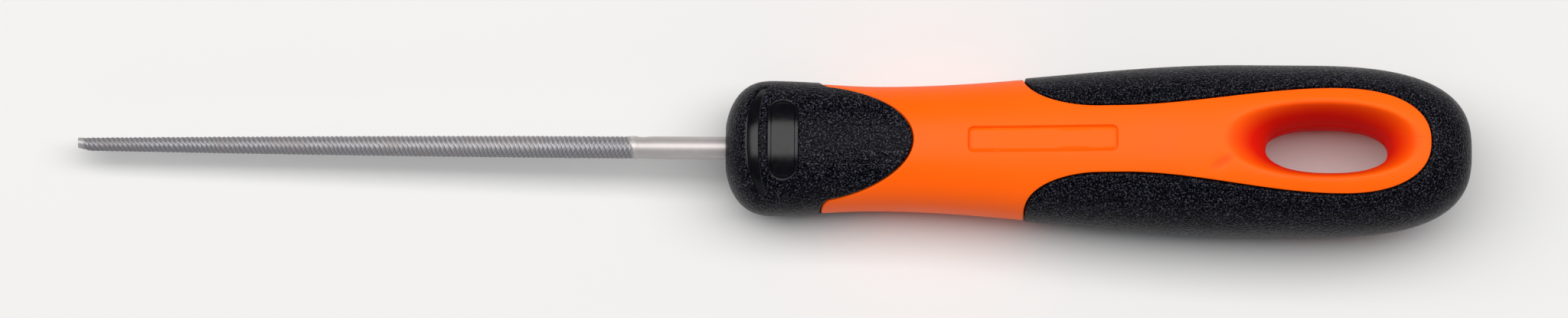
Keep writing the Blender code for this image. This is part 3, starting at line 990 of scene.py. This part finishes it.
def lineHole(bm, loop):
    # the flared wall, from the upper mouth down to the lower one
    c = core
    middle = form["front"] + c["holeAt"]
    start = bm.verts.layers.float_vector.new("start")
    for vert in {vert for edge in loop for vert in edge.verts}:
        vert[start] = vert.co
    heights = [math.cos(math.pi * step / c["holeSteps"]) for step in range(1, c["holeSteps"] + 1)]
    heights += [share for near in c["partingCuts"] for share in (near, -near)]
    for height in sorted(heights, reverse=True):
        rise = c["partingRise"] * (1 - min(abs(height) / c["partingHalf"], 1))

        def move(vert):
            mouth = vert[start]
            forward = mouth.x > middle
            mouthLength, mouthWidth = holeSizes(mouth.z / c["holeReach"], forward)
            length, width = holeSizes(mouth.z * height / c["holeReach"], forward)
            x = middle + (mouth.x - middle) * (length - rise) / mouthLength
            return (x, mouth.y * (width - rise) / mouthWidth, mouth.z * height)

        loop = extrudedLoop(bm, loop, move)
    bm.verts.layers.float_vector.remove(start)


def lineSocket(bm, loop):
    # the seat of the heel and the socket of the tang, closed at its end
    c = core
    mouthRadius, endRadius = c["socketRadii"]
    stations = (
        (c["seatEnd"], c["boreRadius"]),
        (c["seatEnd"], mouthRadius),
        (c["socketEnd"], endRadius),
    )
    for u, radius in stations:

        def move(vert):
            scale = radius / math.hypot(vert.co.y, vert.co.z)
            return (form["front"] + u, vert.co.y * scale, vert.co.z * scale)

        loop = extrudedLoop(bm, loop, move)
    bmesh.ops.edgeloop_fill(bm, edges=loop)


def makeCore():
    c = core
    front, pads = collarOutline(), padsOutline()
    label = roundedOutline(c["labelAt"], c["labelLength"], c["labelWidth"], c["labelCorner"])
    sheet = flatSheet(0, meridianLength, c["spacing"])
    edge, gap = c["edgeRadius"], c["gap"]
    levels = [-c["seatCut"]] + [-gap - level for level in rimLevels(edge, c["edgeSteps"])]
    for outline in (front, pads):
        cutSheet(sheet, outlineField(flatPoints(sheet), c["boreRadius"], outline), levels)
    cutSheet(sheet, holeField(holePlaces(flatPoints(sheet))), (0.0,))
    dropOutside(sheet, lambda flat: holeField(holePlaces(flat)))
    wall = c["labelEdge"]
    values = outlineField(flatPoints(sheet), c["boreRadius"], label, True)
    groove = c["labelGrooveWidth"]
    grooveRise, grooveCut = (groove * share for share in c["grooveFoot"])
    cutSheet(sheet, values, (-wall / 2, 0, wall / 2, wall, wall + grooveCut, wall + groove))
    flat = flatPoints(sheet)
    toFront = -outlineField(flat, c["boreRadius"], front)
    toPads = -outlineField(flat, c["boreRadius"], pads)
    depths = c["rise"] + rimDrop(np.minimum(toFront, toPads) - gap, edge)
    seatEdge = gap - c["seatFrom"]
    depths = np.where(toFront < seatEdge, c["collarSeat"], depths)
    depths = np.where(toPads < seatEdge, c["padSeat"], depths)
    inLabel = outlineField(flat, c["boreRadius"], label, True)
    depths += (c["labelDepth"] + c["labelGroove"]) * eased(inLabel, -wall / 2, wall)
    depths -= c["labelGroove"] * eased(inLabel, wall + grooveRise, wall + groove)
    # the sink mark fades out at the mouth of the hole
    offMouth = eased(holeField(holePlaces(flat)), 0, 1)
    depths += c["dimpleDepth"] * dimpleShare(planOf(flat, c["boreRadius"])) * offMouth
    layOnForm(sheet, depths, c["boreRadius"])
    loops = openLoops(sheet)
    loops.sort(key=lambda loop: loop[0].verts[0].co.x)
    lineSocket(sheet, loops[0])
    upper = [loop for loop in loops[1:] if loop[0].verts[0].co.z > 0]
    lineHole(sheet, upper[0])
    bmesh.ops.remove_doubles(sheet, verts=sheet.verts, dist=c["weld"])
    seam = [vert for vert in sheet.verts if vert.is_boundary]
    bmesh.ops.remove_doubles(sheet, verts=seam, dist=c["mouthWeld"])
    seam = [edge for edge in sheet.edges if edge.is_boundary]
    bmesh.ops.holes_fill(sheet, edges=seam, sides=c["mouthSides"])
    places = np.array([vert.co for vert in sheet.verts], float) - (form["front"], 0, 0)
    deep = np.abs(holeField(places))
    nearLip = np.abs(places[:, 2]) > c["lipHeight"]
    # not the seats and not the edge beside the soft pads
    layer = sheet.verts.layers.float_vector["place"]
    flat = np.array([vert[layer] for vert in sheet.verts], float)
    onSkin = flat[:, 2] < c["padSeat"] / 2
    clear = (outlineField(flat, c["boreRadius"], pads) < -gap - edge) & onSkin
    smoothed = (deep < c["lipWidth"]) & nearLip & clear
    lip = [vert for vert, chosen in zip(sheet.verts, smoothed) if chosen]
    return sheet, lip


def finishCore(material):
    c = core
    sheet, lip = makeCore()
    for _ in range(c["lipPasses"]):
        bmesh.ops.smooth_vert(sheet, verts=lip, factor=0.5, use_axis_x=True, use_axis_y=True, use_axis_z=True)
    print("lip vertices", len(lip), "open edges", sum(edge.is_boundary for edge in sheet.edges))
    return finishPiece("orange_core", sheet, [material], c["smoothAngle"])


# Floor, light and camera

view = {
    "lens": 190.0,
    "distance": 1222.0,
    "elevation": 79.0,
    "roll": 0.35,
    "centreX": 104.2,
    "centreDrop": 1.54,
    "clipStart": 10.0,
}

studio = {
    "floorColour": (0.71, 0.71, 0.71),
    "floorRoughness": 0.9,
    "floorSize": 6000.0,
    "worldColour": (0.92, 0.96, 1.0),
    "worldStrength": 0.18,
    "boxDistance": 1000.0,
    # name, lean from straight above towards the back, length, width, energy, colour
    "boxes": (
        ("keyBox", 10.0, 2400.0, 740.0, 20.4, (1.0, 0.985, 0.965)),
        ("frontBox", -72.0, 2400.0, 500.0, 1.2, (0.9, 0.95, 1.0)),
    ),
}


def makeFloor():
    # the handle lies on the underside of its collar and on its crown
    frontU, backU = form["frontDome"], form["crownAt"]
    low = -float(halfThickness(frontU))
    lean = math.atan2(float(halfThickness(backU)) - core["rise"] + low, backU - frontU)
    bm = bmesh.new()
    bmesh.ops.create_grid(bm, x_segments=1, y_segments=1, size=studio["floorSize"] / 2 * mm)
    bmesh.ops.rotate(bm, verts=bm.verts, cent=(0, 0, 0), matrix=Matrix.Rotation(lean, 3, "Y"))
    at = (form["front"] + frontU) * mm
    bmesh.ops.translate(bm, verts=bm.verts, vec=(at, 0, low * mm))
    mesh = bpy.data.meshes.new("floor")
    bm.to_mesh(mesh)
    bm.free()
    floor = bpy.data.objects.new("floor", mesh)
    bpy.context.scene.collection.objects.link(floor)
    material, *_, shader = startMaterial("paleFloor")
    shader.inputs["Base Color"].default_value = (*studio["floorColour"], 1)
    shader.inputs["Roughness"].default_value = studio["floorRoughness"]
    mesh.materials.append(material)


def makeLight():
    world = bpy.data.worlds.new("studio")
    bpy.context.scene.world = world
    world.use_nodes = True
    background = world.node_tree.nodes["Background"]
    background.inputs["Color"].default_value = (*studio["worldColour"], 1)
    background.inputs["Strength"].default_value = studio["worldStrength"]
    reach = studio["boxDistance"] * mm
    for name, lean, length, width, energy, colour in studio["boxes"]:
        lamp = bpy.data.lights.new(name, "AREA")
        lamp.shape = "RECTANGLE"
        lamp.size, lamp.size_y = length * mm, width * mm
        lamp.energy = energy
        lamp.color = colour
        box = bpy.data.objects.new(name, lamp)
        bpy.context.scene.collection.objects.link(box)
        turn = math.radians(lean)
        box.location = (view["centreX"] * mm, reach * math.sin(turn), reach * math.cos(turn))
        box.rotation_euler = (-turn, 0, 0)


def makeCamera():
    lens = bpy.data.cameras.new("camera")
    lens.lens = view["lens"]
    lens.clip_start = view["clipStart"] * mm
    camera = bpy.data.objects.new("camera", lens)
    bpy.context.scene.collection.objects.link(camera)
    up, roll = math.radians(view["elevation"]), math.radians(view["roll"])
    ahead = Vector((0, math.cos(up), -math.sin(up)))
    right, above = Vector((1, 0, 0)), Vector((0, math.sin(up), math.cos(up)))
    rightTurned = right * math.cos(roll) + above * math.sin(roll)
    aboveTurned = above * math.cos(roll) - right * math.sin(roll)
    target = Vector((view["centreX"], 0, 0)) * mm - aboveTurned * view["centreDrop"] * mm
    place = Matrix((rightTurned, aboveTurned, -ahead)).transposed().to_4x4()
    place.translation = target - ahead * view["distance"] * mm
    camera.matrix_world = place
    bpy.context.scene.camera = camera


makeFloor()
makeLight()
makeCamera()
bpy.context.scene.view_settings.view_transform = "Standard"
print("floor, light and camera are set")

steel = groundSteel()
orange = orangePlastic()
grained = softPlastic("grainedBlackPlastic")
polished = polishedPlastic()

for piece, node, slot in (
    (makeBlade(steel), "file_blade", "blade_steel"),
    (makeCollar(grained, polished), "front_collar", "collar_soft"),
    (makeGrip(grained), "rear_grip", "grip_soft"),
    (finishCore(orange), "handle_core", "core_plastic"),
):
    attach(piece, "root")
    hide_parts(node)
print("all pieces ride on the frame")
